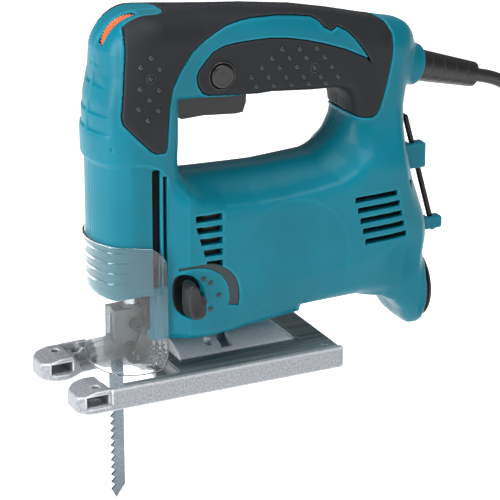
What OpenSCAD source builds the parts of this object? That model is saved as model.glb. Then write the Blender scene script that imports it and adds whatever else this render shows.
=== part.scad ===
// Orbital-action jigsaw with a closed (D-shaped) handle, built from its separate pieces.
// Millimetres. +X runs to the rear (cord end), +Z up, +Y to the tool's right-hand side.
// The origin lies on the sole's underside, in the middle of the sole's width, just behind the blade's back.

/* [Sole] */
// Length of the sole
sole_len = 151.4; // [149:0.2:154]
// Width of the sole
sole_w = 71.3; // [70:0.1:73]
// Height of the sole's rails and prongs
sole_h = 11.6; // [11:0.1:11.8]
// Where the tips of the prongs are, ahead of the origin
sole_front = -39.9; // [-41:0.1:-39]
// Outer radius of the half-round saddle
saddle_r = 19.3; // [18.8:0.1:19.3]

/* [Housing] */
// Half width of the motor body
body_hw = 31; // [30.5:0.1:32]
// Half width of the nose column, where the dust cover slides
nose_hw = 23.8; // [23.6:0.1:23.8]
// Half width of the handle
grip_hw = 18.5; // [18:0.1:19.5]
// Thickness of the housing's walls
wall = 2.6; // [2.4:0.1:2.8]
// Height of the handle's top above the sole
top_z = 199.4; // [198:0.1:201]
// Bore of the dust outlet
outlet_r = 16; // [15.5:0.1:16.4]

/* [Drive] */
// Stroke of the blade
stroke = 18; // [14:1:18]
// Diameter of the plunger
plunger_d = 10; // [9.6:0.1:10]
// Teeth on the motor pinion
pinion_teeth = 8; // [8:1:8]
// Teeth on the drive gear
gear_teeth = 36; // [36:1:36]
// Length of blade below the sole
blade_below = 66.5; // [50:0.5:70]

/* [Cord] */
// Diameter of the rubber lead
cord_d = 7.4; // [7:0.1:7.6]
// Mean diameter of the stored coil
coil_mean = 84; // [82:1:88]

/* [Hidden] */
$fn = 48;
eps = 0.01;
gap = 0.3;          // between pieces that slide or swing past each other
fit = 0.05;         // radial clearance of a running fit

teal = [0.05, 0.50, 0.58];
charcoal = [0.22, 0.23, 0.25];
steel = [0.72, 0.73, 0.75];
cast = [0.66, 0.67, 0.68];
copper = [0.72, 0.45, 0.25];
black = [0.08, 0.08, 0.09];

// Places that several pieces share
sole_back = sole_front + sole_len;
motor_z = 68;                                   // motor axis, along X
tooth_module = 1;
gear_z = motor_z + (pinion_teeth + gear_teeth) * tooth_module / 2;
rod_x = 4.2;                                    // plunger axis, along Z
rod_r = plunger_d / 2;
crank_r = stroke / 2;
yoke_z = gear_z - crank_r;                      // the stroke starts at its lowest point
duct_z = 27;                                    // dust outlet axis
outlet_t = 2.6;
duct_r = outlet_r + outlet_t + 1;
body_back = 171;
nose_front = -17.3;
nose_top = 126;                                 // the dust cover slides below this height
cover_gap = 0.4;
cover_t = 1.6;
cover_low = 12;
cover_top = 83;
cover_back = 14.2;
bolt_x = 62;
slide_back = 18;                                // how far the sole slides to the rear
channel_r = 15.5;                               // inside of the saddle
dial_c = [3.3, 183.7];                          // speed dial axis, along Y
dial_r = 15.4;
lever_c = [27, 51];                             // orbital lever pivot, along Y
button_c = [48, 164.8];
fork_c = [13, 40];                              // roller fork pivot, along Y
roller_c = [4.6, 15];
roller_r = 5;
key_top = [163.7, 122];
key_foot = [182, 56];
key_d = 3;
key_y = -2.6;                                   // the key lies beside the seam of the housing
key_gap = 0.25;
screw_at = [[-9, 160], [16.4, 128], [92, 168], [138, 172], [148, 112], [44, 34.5], [136, 42]];
guard_root = [169, 150];
guard_tip = [205.5, 139.5];
guard_slope = atan2(guard_root[1] - guard_tip[1], guard_tip[0] - guard_root[0]);
guard_len = norm(guard_tip - guard_root);
floor_z = -blade_below;                         // the surface that the stored lead lies on
coil_c = [276, -40];
coil_lift = 1.2;                                // room for the tie under the coil
coil_w = 2 * cord_d;                            // the bundle is two turns wide and four high
coil_h = 4 * cord_d;

// ---- outlines, as points [x, z] ----
function arc(c, r, a0, a1, n) =
    [for (i = [0:n]) c + r * [cos(a0 + (a1 - a0) * i / n), sin(a0 + (a1 - a0) * i / n)]];

// The whole side view of the housing: nose, handle, rear column and motor body
side_outline = concat(
    [[8, 24.6], [8, 52], [nose_front + 1, 52], [nose_front, 56], [nose_front, 120],
        [-19.6, nose_top], [-19.6, 138], [-17.8, 155], [-14.4, 171]],
    arc([8, top_z - 22.4], 22.4, 165, 90, 8),
    [[43, 197.3], [70, 194.6], [98, 190.6], [119, 186], [140, 180.6]],
    arc([153, 162.5], 15.4, 80, -12, 7),
    [[163, 146], [158.4, 122], [158.4, 110], [164, 92], [body_back, 62], [body_back, 9.5],
        [168, 8], [160, 8.4], [150, 12], [132, 24.6]]);

// The hole of the handle
loop_outline = concat(
    arc([33, 119], 8.2, 250, 180, 5), [[25.2, 126], [25.2, 154], [64, 150.6], [78, 151], [101, 148.6]],
    arc([112, 137], 12, 78, 0, 6), arc([99, 137], 26.5, -15, -75, 6), [[76, 109.6]]);

// The overmoulded grip: the nose panel with the wrap over the handle, and the inlay beside it
wrap_outline = [[6, 206], [-3, 197], [-5, 190], [-8.9, 151], [-3.2, 141.8], [5.8, 132.4], [14.2, 130.4],
    [17, 154], [22, 169], [31.4, 179.8], [44, 187], [52, 190.5], [67, 192.3], [82, 191.4], [102, 188],
    [108, 181.6], [112, 179.3], [116, 181], [125, 173.6], [132.7, 162.6], [146.9, 161.3], [147.8, 172.7],
    [144, 182.2], [144, 206]];
inlay_outline = [[33.4, 166.5], [37.1, 157.1], [68, 152], [72, 145], [118, 145], [121, 138], [124, 132.5],
    [135.3, 130.2], [139.5, 133.9], [143.5, 146.1], [146.9, 161.3], [132.7, 162.6], [106.5, 174.2],
    [86, 179.7], [65.8, 181.3], [50, 180.4], [38.9, 173.8]];

// Plan views, as points [x, y] on the -Y side
nose_plan = [[-17.3, 0], [-16.6, -9], [-14.2, -16.5], [-9, -22], [-3, -nose_hw], [40, -nose_hw], [40, 0]];
lower_plan = [[10, 0], [10, -nose_hw], [14.5, -nose_hw], [24, -29.5], [36, -body_hw], [122, -body_hw],
    [150, -28.5], [164, -23.5], [body_back, -16], [body_back, 0]];
upper_plan = [[-20, 0], [-19.4, -9], [-17, -17], [-12, -22.5], [-4, -25], [14, -24.5], [30, -20.5],
    [46, -grip_hw], [146, -grip_hw], [160, -15], [169, -9], [170, 0]];
shoulder_z = 110;                               // the wide body ends here

function mirrored(p) = concat(p, [for (i = [len(p) - 2:-1:1]) [p[i][0], -p[i][1]]]);

// ---- helpers ----
module slab(hw) rotate([90, 0, 0]) translate([0, 0, -hw]) linear_extrude(2 * hw) children();
module along_x(x0, x1, r) translate([x0, 0, 0]) rotate([0, 90, 0]) cylinder(h = x1 - x0, r = r);
module along_y(y0, y1, r) translate([0, y0, 0]) rotate([-90, 0, 0]) cylinder(h = y1 - y0, r = r);
module box(lo, hi) translate(lo) cube(hi - lo);
module at(p) translate([p[0], 0, p[1]]) children();
module ring_x(x0, x1, r_in, r_out) difference() {
    along_x(x0, x1, r_out);
    along_x(x0 - 1, x1 + 1, r_in);
}
module motor_axis() translate([0, 0, motor_z]) children();
module gear_axis() translate([0, 0, gear_z]) children();
module guard_axis() at(guard_root) rotate([0, guard_slope, 0]) children();

// ---- housing ----
// The space that the housing fills, made smaller all round by inset
module outer_form(inset) {
    module plan(points) offset(delta = -inset) polygon(mirrored(points));
    intersection() {
        slab(body_hw + 2) offset(delta = -inset) difference() {
            polygon(side_outline);
            polygon(loop_outline);
        }
        union() {
            translate([0, 0, 5]) linear_extrude(shoulder_z - 5 - inset) plan(lower_plan);
            translate([0, 0, 5]) linear_extrude(nose_top + 10) plan(nose_plan);
            difference() {
                translate([0, 0, shoulder_z - 20]) linear_extrude(120) plan(upper_plan);
                box([-40, -40, 0], [16 + inset, 40, nose_top + inset]);
            }
        }
    }
}

module grip_skin() intersection() {
    slab(body_hw) union() {
        polygon(wrap_outline);
        polygon(inlay_outline);
    }
    difference() {
        outer_form(-0.6);
        outer_form(1.2);
        at(button_c) along_y(-40, 40, 8);
        at(dial_c) along_y(-9, 0.6, dial_r + 1.5);
    }
}

module vents(first, pitch, length, rise) for (i = [0:4], s = [-1, 1])
    translate([first[0] + pitch[0] * i, s * body_hw, first[1] + pitch[1] * i])
        rotate([0, -rise, 0]) translate([-length / 2, -6, -1.7]) cube([length, 12, 3.4]);

module openings() {
    box([26.2, -11.3, 140], [67.3, 11.3, 159]);                  // trigger
    at(button_c) along_y(-40, -10, 6.6);
    at(lever_c) along_y(-40, -16, 6.4);
    at(dial_c) along_y(-7.6, -0.9, dial_r + gap);
    vents([36, 91.5], [0, -6.2], 14.5, 4);
    vents([132, 89.5], [1.7, -5.9], 26, 0);
    box([-14, -21, 40], [8, 21, 56]);                            // the plunger's way down
    box([0, -8.9, 20], [11.5, 8.9, 62]);
    box([5, -8.9, 20], [24, 8.9, 50]);                           // roller fork
    at(fork_c) along_y(-11, 11, 1.5);
    translate([0, 0, duct_z]) along_x(146, 175, outlet_r + outlet_t + fit);
    along_x(0, 131, saddle_r + 0.1);
    translate([bolt_x, 0, 10]) cylinder(h = 26, r = 3.1);
    guard_axis() along_x(-24, 12, 6.7);
    guard_axis() along_x(-16, -8, 9.2);
    for (p = screw_at) at(p) {
        along_y(-12, 40, 1.7);
        along_y(14, 40, 3.7);
    }
    motor_axis() {
        along_x(50, 120, 27.05);
        along_x(121.9, 128.1, 9.55);
        along_x(118, 134, 6);
    }
}

// Bosses, ribs and seats inside the shell
module inside_ribs() intersection() {
    outer_form(0);
    union() {
        for (p = screw_at) at(p) along_y(-40, 40, 4.6);
        translate([0, 0, duct_z]) ring_x(146, body_back, outlet_r + outlet_t, duct_r);
        for (x = [66, 90]) box([x, -40, 24], [x + 4, 40, 105]);
        box([120, -40, motor_z - 13], [130, 40, motor_z + 13]);
        box([8, -12, 24.6], [25, 12, 50]);
        box([54, -8, 24.6], [70, 8, 37]);
        guard_axis() along_x(-19, -5, 12);
    }
}

// Open towards +Y, so that the key pulls out sideways
module key_clips() difference() {
    union() {
        translate([0, 0, 93.5]) linear_extrude(14)
            polygon([[156, -7], [172, -7], [175, -5], [175, -eps], [156, -eps]]);
        box([168, -6.5, 57], [186, -eps, 64]);
    }
    outer_form(0.5);
    key_shank(key_d / 2 + key_gap);
    at(key_top) rotate([0, key_lean, 0])
        box([-key_d / 2 - key_gap, key_y, -90], [key_d / 2 + key_gap, 1, 0]);
}
key_len = norm(key_top - key_foot);
key_lean = -atan2(key_foot[0] - key_top[0], key_top[1] - key_foot[1]);
module key_shank(r) at(key_top) rotate([0, key_lean, 0]) translate([0, key_y, -key_len])
    cylinder(h = key_len, r = r);

module shell() difference() {
    union() {
        difference() {
            outer_form(0);
            outer_form(wall);
        }
        inside_ribs();
        key_clips();
        box([26, -4, 14], [84, 4, 26]);                          // seat on the saddle
    }
    openings();
    grip_skin();
}

module housing_left() color(teal) intersection() {
    shell();
    box([-60, -60, -10], [220, 0, 220]);
}
module housing_right() color(teal) intersection() {
    shell();
    box([-60, 0, -10], [220, 60, 220]);
}
module grip_left() color(charcoal) intersection() {
    grip_skin();
    box([-60, -60, 100], [220, 0, 220]);
}
module grip_right() color(charcoal) intersection() {
    grip_skin();
    box([-60, 0, 100], [220, 60, 220]);
}
module housing_screws() color(steel) for (p = screw_at) at(p) difference() {
    union() {
        along_y(-11.5, 14.5, 1.6);
        along_y(14, 16.6, 3.4);
    }
    along_y(15, 17, 1.2);
}

// ---- drive ----
module gear_case() color(cast) difference() {
    intersection() {
        box([33.5, -40, 46], [43, 40, 98]);
        outer_form(wall + 2);
    }
    motor_axis() along_x(30, 46, 11);
    gear_axis() along_x(30, 46, 4);
}
block_hw = nose_hw - wall - 1.4;
module guide_blocks() color(cast) for (z = [[63, 71], [132, 143]]) difference() {
    box([-6, -block_hw, z[0]], [13, block_hw, z[1]]);
    translate([rod_x, 0, 0]) cylinder(h = 200, r = rod_r + 3);
}
module plunger_bushes() color([0.7, 0.6, 0.4]) for (z = [[61.8, 72.5], [131, 144]]) difference() {
    translate([rod_x, 0, z[0]]) cylinder(h = z[1] - z[0], r = rod_r + 3);
    translate([rod_x, 0, 0]) cylinder(h = 200, r = rod_r + fit);
}
module front_bearing() color(steel) motor_axis() ring_x(35, 43, 4 + fit, 11);
module rear_bearing() color(steel) motor_axis() ring_x(122, 128, 4 + fit, 9.5);
module stator_core() color(steel) motor_axis() ring_x(62, 98, 17, 27);
module stator_coils() color(copper) motor_axis() {
    ring_x(56, 62, 17.5, 25.5);
    ring_x(98, 104, 17.5, 25.5);
}
module brush_holders() color([0.75, 0.6, 0.3]) for (s = [-1, 1]) motor_axis() scale([1, s, 1]) difference() {
    box([109, 12.5, -7], [119, 26, 7]);
    box([111, 10, -4], [117, 28, 4]);
}
module carbon_brushes() color(black) for (s = [-1, 1]) motor_axis()
    box([111.1, s > 0 ? 11.1 : -24, -3.9], [116.9, s > 0 ? 24 : -11.1, 3.9]);
module gear_pin() color(steel) gear_axis() along_x(21, 43, 4);

module toothed(teeth, r_tip, r_root, tip_w, root_w) {
    step = 360 / teeth;
    function corner(r, w, a) = [r * cos(a) - w / 2 * sin(a), r * sin(a) + w / 2 * cos(a)];
    polygon([for (i = [0:teeth - 1]) each [corner(r_root, -root_w, i * step), corner(r_tip, -tip_w, i * step),
        corner(r_tip, tip_w, i * step), corner(r_root, root_w, i * step)]]);
}
module wheel_x(x0, x1, turn) translate([x0, 0, 0]) rotate([0, 90, 0]) rotate(turn)
    linear_extrude(x1 - x0) children();

module armature_shaft() color(steel) motor_axis() {
    along_x(32, 127.5, 4);
    wheel_x(21, 32.5, 0) toothed(pinion_teeth, 4.8, 2.8, 0.7, 1.7);
}
module armature_core() color(steel) motor_axis() ring_x(62, 98, 4, 16.4);
module armature_windings() color(copper) motor_axis() {
    ring_x(56, 62, 4, 15);
    ring_x(98, 105, 4, 15);
}
module commutator() color(copper) motor_axis() ring_x(108, 120, 4, 11);
module fan() color(black) motor_axis() {
    ring_x(45.5, 54, 4, 8);
    ring_x(45.5, 47, 8, 23);
    for (i = [0:10]) rotate([i * 360 / 11, 0, 0]) box([47, 7.8, -0.7], [53, 22.5, 0.7]);
}
module drive_gear() color(steel) gear_axis() difference() {
    wheel_x(22, 28, 180 / gear_teeth) toothed(gear_teeth, gear_teeth / 2 + 0.8, gear_teeth / 2 - 1.4, 0.8, 1.8);
    along_x(20, 40, 4 + fit);
    translate([0, 0, -crank_r]) along_x(20, 26, 2.5);
    for (a = [60, 120, 180, 240, 300]) rotate([a, 0, 0]) translate([0, 0, -11]) along_x(20, 40, 3);
}
module crank_pin() color(steel) gear_axis() translate([0, 0, -crank_r]) along_x(17, 26, 2.5);

// ---- plunger and blade ----
module plunger() color(steel) translate([rod_x, 0, 43.5]) cylinder(h = 100.5, r = rod_r);
module yoke() color(cast) difference() {
    box([rod_x, -15, yoke_z - 6], [16, 15, yoke_z + 6]);
    translate([rod_x, 0, 0]) cylinder(h = 200, r = rod_r);
    box([11, -11.8, yoke_z - 2.6], [17, 11.8, yoke_z + 2.6]);
}
module blade_holder() color(cast) difference() {
    union() {
        box([-8, -6, 24], [rod_x + rod_r, 6, 42]);
        translate([rod_x, 0, 24]) cylinder(h = 19.5, r = rod_r + 1);
    }
    box([-12, -0.65, 20], [0.45, 0.65, 39]);
    at([4.4, 33]) along_y(-20, 3, 2.5);
}
module blade_clamp_screw() color(steel) at([4.4, 33]) difference() {
    union() {
        along_y(-9, -6.6, 3.4);
        along_y(-7, 3, 2.4);
    }
    along_y(-10, -7.5, 1.5);
}
blade_back = -1;
blade_w = 7.6;
tooth_step = 4.2;
module blade() color(steel) slab(0.6) polygon(concat(
    [[blade_back, 15.5], [0.4, 17.5], [0.4, 38.5], [-9, 38.5], [-9, 28], [-11.2, 26], [-11.2, 16],
        [blade_back - blade_w, 12], [blade_back - blade_w, -7]],
    [for (i = [0:12]) each [[blade_back - blade_w, -7 - tooth_step * i],
        [blade_back - blade_w + 2.4, -7 - tooth_step * (i + 0.45)]]],
    [[blade_back - blade_w, -61.6], [blade_back - 5, floor_z], [blade_back, floor_z + 7]]));

module roller_fork() color(steel) difference() {
    for (s = [-1, 1]) scale([1, s, 1]) {
        translate([0, 8.6, 0]) rotate([90, 0, 0]) linear_extrude(2) polygon([
            roller_c + [-3.5, -3], roller_c + [3, -3.5], roller_c + [7, 4], fork_c + [4, -2],
            fork_c + [4, 4], fork_c + [-4, 4], fork_c + [-4, -4]]);
        at(fork_c) box([-2, -eps, 0], [4, 8.6, 4]);
    }
    at(fork_c) along_y(-9, 9, 1.5 + fit);
    at(roller_c) along_y(-9, 9, 1.5);
}
module fork_pin() color(steel) at(fork_c) along_y(-10.5, 10.5, 1.5);
module roller_pin() color(steel) at(roller_c) along_y(-8.6, 8.6, 1.5);
module guide_roller() color(steel) at(roller_c) difference() {
    along_y(-3.6, 3.6, roller_r);
    along_y(-4, 4, 1.5 + fit);
    rotate([90, 0, 0]) rotate_extrude() translate([roller_r, 0]) square([1.2, 1.6], center = true);
}

// ---- controls ----
module trigger() color(charcoal) slab(9.5) polygon([[27.2, 143], [30, 141.6], [42, 142], [60, 140.4],
    [64.4, 140.8], [66.2, 146], [66.4, 157.5], [27.2, 157.5]]);
module trigger_spring() color(steel) translate([58, 0, 157.5]) difference() {
    cylinder(h = 6.5, r = 3.2);
    translate([0, 0, -1]) cylinder(h = 9, r = 2.4);
}
module lock_button() color(black) at(button_c) difference() {
    along_y(-21.2, -13.2, 6.2);
    along_y(-18.4, -13, 3.8);
}
module lock_spring() color(steel) at(button_c) difference() {     // as long as when it is pressed
    along_y(-15.2, -9.7, 3.4);
    along_y(-16, -9.6, 2.6);
}
module switch_body() color(black) difference() {
    box([36, -9, 164], [74, 9, 182]);
    at([41, 178]) along_y(-10, 10, 1.6);
}
module speed_board() color([0.1, 0.35, 0.2]) {
    box([20, -12, 171], [34, 12, 172.6]);
    box([22, -9, 172.6], [31, -2, 178]);
    box([22, 2, 172.6], [26, 8, 176]);
}
module speed_dial() color([0.95, 0.5, 0.2]) at(dial_c) {
    along_y(-7.2, -1.3, dial_r);
    for (i = [0:35]) rotate([0, 10 * i, 0]) box([dial_r - 0.5, -7.2, -0.35], [dial_r + 0.25, -1.3, 0.35]);
}
module orbital_lever() color(black) at(lever_c) {
    along_y(-42, -18, 6);
    translate([-0.5, 0, -12]) along_y(-42, -31.4, 4.4);
    box([-5, -42, -12], [4, -31.4, 0]);
}

// ---- cord entry ----
module cord_clamp() color(cast) guard_axis() difference() {
    box([-38, -9, 1], [-29, 9, 6]);
    along_x(-50, 0, cord_d / 2 + 0.05);
    for (s = [-1, 1]) translate([-33.5, s * 6.6, -10]) cylinder(h = 30, r = 1.6);
}
module cord_clamp_screws() color(steel) guard_axis() for (s = [-1, 1]) translate([-33.5, s * 6.6, -3]) {
    cylinder(h = 9.1, r = 1.5);
    translate([0, 0, 9]) cylinder(h = 2, r = 2.6);
}
module inner_lead() color(black) guard_axis() along_x(-44, -20.1, cord_d / 2);
module cord_guard() color(black) guard_axis() difference() {
    union() {
        along_x(-20, 0.5, 6.5);
        along_x(-15.8, -8.2, 9);
        rotate([0, 90, 0]) cylinder(h = guard_len, r1 = 8.7, r2 = 6.8);
    }
    along_x(guard_len - 15, guard_len + 5, cord_d / 2 + 0.05);
}
module dust_outlet() color(black) translate([0, 0, duct_z]) {
    ring_x(148, 171.4, outlet_r, outlet_r + outlet_t);
    ring_x(171.2, 172.6, outlet_r, outlet_r + outlet_t + 1.2);
}

// ---- dust cover, sole and key ----
module dust_cover() color([0.8, 0.9, 0.95, 0.4]) intersection() {
    translate([0, 0, cover_low]) linear_extrude(cover_top - cover_low) difference() {
        offset(delta = cover_gap + cover_t) polygon(mirrored(nose_plan));
        offset(delta = cover_gap) polygon(mirrored(nose_plan));
    }
    box([-40, -40, 0], [cover_back, 40, 100]);
}

module sole() color(cast) difference() {
    union() {
        box([sole_front, -sole_w / 2, 0], [sole_back, sole_w / 2, sole_h - 0.6]);
        for (s = [-1, 1]) scale([1, s, 1]) box([sole_front, 31.4, 0], [sole_back, sole_w / 2, sole_h]);
        box([sole_front, -sole_w / 2, 0], [-19.5, sole_w / 2, sole_h]);
        intersection() {
            along_x(25, 96, saddle_r);
            box([0, -50, 0], [120, 50, 50]);
        }
    }
    along_x(28, 93, channel_r);                                   // room for the clamp shoe
    translate([96.5, 0, 24.2]) along_y(-40, 40, 13);              // rounded end of the saddle
    box([bolt_x - slide_back - 3.3, -3.3, 5], [bolt_x + 3.5, 3.3, 30]);
    box([49.7, -13, 12], [56.3, 13, 30]);                         // arc slot for bevel cuts
    throat();
    box([-19.5, -26.2, 4], [21, 26.2, 20]);                       // low floor beside the blade
    for (s = [-1, 1]) {
        box([-35.5, s * 23 - 15, 3.8], [-23.5, s * 23 + 15, 9.4]);  // fence windows
        translate([-28, s * 27, 6]) cylinder(h = 10, r = 2.1);
        translate([-15.8, s * 29.4, 3]) cylinder(h = 12, r = 2.1);
        translate([103.8, s * 26, 6]) cylinder(h = 10, r = 1.5);
        translate([sole_front, s * sole_w / 2, -1]) rotate(45) cube([7, 7, 40], center = true);
    }
}
module throat() translate([0, 0, -1]) linear_extrude(20) {
    polygon([[-41, -18.5], [-39.5, -18], [-34.3, -11.8], [-25, -11.8], [-15.4, -18.3], [4, -18.3],
        [4, 18.3], [-15.4, 18.3], [-25, 11.8], [-34.3, 11.8], [-39.5, 18], [-41, 18.5]]);
    intersection() {
        translate([-4.3, 0]) circle(r = 20.1);
        translate([3.9, -30]) square([20, 60]);
    }
}
module saddle_bolt() color(steel) translate([bolt_x, 0, 0]) difference() {
    union() {
        translate([0, 0, 6.2]) cylinder(h = 4.8, r = 5);
        translate([0, 0, 8]) cylinder(h = 27, r = 3);
    }
    translate([0, 0, 5]) cylinder(h = 4, r = 2.9, $fn = 6);
}
module clamp_shoe() color(steel) difference() {
    intersection() {
        ring_x(bolt_x - 10, bolt_x + 10, 12.2, channel_r - gap);
        box([0, -9, 5], [100, 9, 20]);
    }
    translate([bolt_x, 0, 0]) cylinder(h = 30, r = 3);
}
module hex_key() color(black) {
    key_shank(key_d / 2);
    at(key_top) along_y(key_y, 16, key_d / 2);
    translate([0, key_y, 0]) at(key_top) sphere(r = key_d / 2);
}

// ---- stored lead ----
// The lead leaves the guard, falls beside the dust outlet and joins the coil's outermost turn
lead_route = [[190.9, 0, 143.7], [205.5, 0, 139.5], [218, 0, 135.9], [226.5, -0.8, 131.2], [230.6, -3.4, 124.4],
    [232.2, -7.2, 115.5], [232.2, -12, 104], [231.6, -18, 88], [231, -21.8, 68], [230.6, -23.4, 46],
    [230.4, -23.2, 24], [230.3, -21.6, 8], [230.3, -19.8, -8], [230.3, -19.8, -19], [230.3, -22.5, -29.2],
    [230.3, -30, -36.7], [230.3, -40, -39.4]];
// The far end rises from the coil and goes into the plug, measured from the coil's centre
end_route = [[38.3, 0, -39.4], [37.7, 6.6, -39.4], [33.2, 19.2, -37.4], [19.2, 33.2, -34.5], [0, 38.3, -31.5],
    [-11.5, 36, -29.3], [-21.2, 29.5, -28], [-27.7, 19.8, -27.4], [-30, 8.4, -27.2]];
function smooth(p, i, t) = let (
    a = p[max(i - 1, 0)], b = p[i], c = p[min(i + 1, len(p) - 1)], d = p[min(i + 2, len(p) - 1)])
    0.5 * (2 * b + (c - a) * t + (2 * a - 5 * b + 4 * c - d) * t * t + (3 * b - a - 3 * c + d) * t * t * t);
function swept(p, sub) = [for (i = [0:len(p) - 2], k = [0:sub - 1]) smooth(p, i, k / sub), p[len(p) - 1]];
module tube(line, r, sides) {
    function ahead(i) = line[min(i + 1, len(line) - 1)] - line[max(i - 1, 0)];
    function unit(v) = v / norm(v);
    n = len(line);
    rings = [for (i = [0:n - 1]) let (side = [0, 1, 0], t = unit(ahead(i)), up = unit(cross(t, side)),
        out = cross(up, t)) for (k = [0:sides - 1])
            line[i] + r * (cos(360 * k / sides) * out + sin(360 * k / sides) * up)];
    polyhedron(rings, concat([[for (k = [0:sides - 1]) k]],
        [for (i = [0:n - 2], k = [0:sides - 1]) [i * sides + k, (i + 1) * sides + k,
            (i + 1) * sides + (k + 1) % sides, i * sides + (k + 1) % sides]],
        [[for (k = [sides - 1:-1:0]) (n - 1) * sides + k]]));
}
module cord() color(black) tube(swept(lead_route, 2), cord_d / 2, 10);
module cord_end() color(black) translate([coil_c[0], coil_c[1], 0]) tube(swept(end_route, 2), cord_d / 2, 10);
module coil_ring() rotate_extrude() translate([(coil_mean - coil_w) / 2, 0]) square([coil_w, coil_h]);
module cord_coil() color(black) translate([coil_c[0], coil_c[1], floor_z + coil_lift]) coil_ring();
module coil_tie() color([0.15, 0.15, 0.16]) translate([coil_c[0], coil_c[1], floor_z]) difference() {
    box([(coil_mean - coil_w) / 2 - 1.4, -6, 0], [(coil_mean + coil_w) / 2 + 1.4, 6, coil_h + coil_lift + 1.2]);
    translate([0, 0, coil_lift]) coil_ring();
}
plug_z = floor_z + coil_lift + coil_h;
module plug_body() color(black) translate([coil_c[0] - 30, coil_c[1], plug_z]) {
    box([-12, -38, 0], [12, -6, 17]);
    translate([0, 0, 8.5]) along_y(-7, 8.3, 6);
}
module plug_pins() color(steel) translate([coil_c[0] - 30, coil_c[1], plug_z]) for (x = [-6.35, 6.35])
    box([x - 3, -54, 7.7], [x + 3, -38, 9.3]);

housing_left();
housing_right();
grip_left();
grip_right();
housing_screws();
gear_case();
guide_blocks();
plunger_bushes();
front_bearing();
rear_bearing();
stator_core();
stator_coils();
brush_holders();
carbon_brushes();
gear_pin();
switch_body();
speed_board();
cord_clamp();
cord_clamp_screws();
inner_lead();
dust_outlet();
saddle_bolt();
clamp_shoe();
fork_pin();
trigger();
trigger_spring();
lock_button();
lock_spring();
speed_dial();
orbital_lever();
armature_shaft();
armature_core();
armature_windings();
commutator();
fan();
drive_gear();
crank_pin();
plunger();
yoke();
blade_holder();
blade_clamp_screw();
blade();
roller_fork();
roller_pin();
guide_roller();
dust_cover();
sole();
hex_key();
cord_guard();
cord();
cord_coil();
cord_end();
coil_tie();
plug_body();
plug_pins();
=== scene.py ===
import math

import bpy
import bmesh
import numpy as np
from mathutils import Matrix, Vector


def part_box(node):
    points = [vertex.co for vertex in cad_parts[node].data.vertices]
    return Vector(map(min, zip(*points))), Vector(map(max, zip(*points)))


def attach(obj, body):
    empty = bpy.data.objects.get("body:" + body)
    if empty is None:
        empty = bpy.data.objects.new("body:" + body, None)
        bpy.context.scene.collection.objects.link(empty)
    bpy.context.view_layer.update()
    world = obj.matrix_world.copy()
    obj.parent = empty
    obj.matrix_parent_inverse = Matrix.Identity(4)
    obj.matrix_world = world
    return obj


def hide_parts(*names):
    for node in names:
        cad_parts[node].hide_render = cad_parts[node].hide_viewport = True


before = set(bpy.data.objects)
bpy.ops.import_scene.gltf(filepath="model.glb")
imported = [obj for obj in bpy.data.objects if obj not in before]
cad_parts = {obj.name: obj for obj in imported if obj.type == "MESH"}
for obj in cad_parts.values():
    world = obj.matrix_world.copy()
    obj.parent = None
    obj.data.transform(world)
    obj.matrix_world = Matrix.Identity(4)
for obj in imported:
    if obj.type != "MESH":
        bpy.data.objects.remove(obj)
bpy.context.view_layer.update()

MM = 0.001
scene = bpy.context.scene
VOXEL = 0.78
DUCT_Z = 27.0
NOSE_BOW_R = 38.0
FLOOR_R, FLOOR_SIDES = 6.0, 48


def box_mm(node):
    """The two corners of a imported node's box, in mm."""
    return [np.array(c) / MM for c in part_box(node)]


# ------------ camera
target = Vector((73.06, 0.0, 60.44)) * MM
azimuth, elevation, distance = math.radians(-25.97), math.radians(20.64), 1.47573
back = Vector((math.sin(azimuth) * math.cos(elevation), -math.cos(azimuth) * math.cos(elevation),
               math.sin(elevation)))
cam_data = bpy.data.cameras.new("camera")
cam = bpy.data.objects.new("camera", cam_data)
scene.collection.objects.link(cam)
cam.location = target + back * distance
cam.rotation_euler = (-back).to_track_quat("-Z", "Y").to_euler()
cam_data.sensor_width = 36.0
cam_data.lens = 201.6
cam_data.clip_start = 0.05
cam_data.clip_end = 50.0
scene.camera = cam


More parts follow.
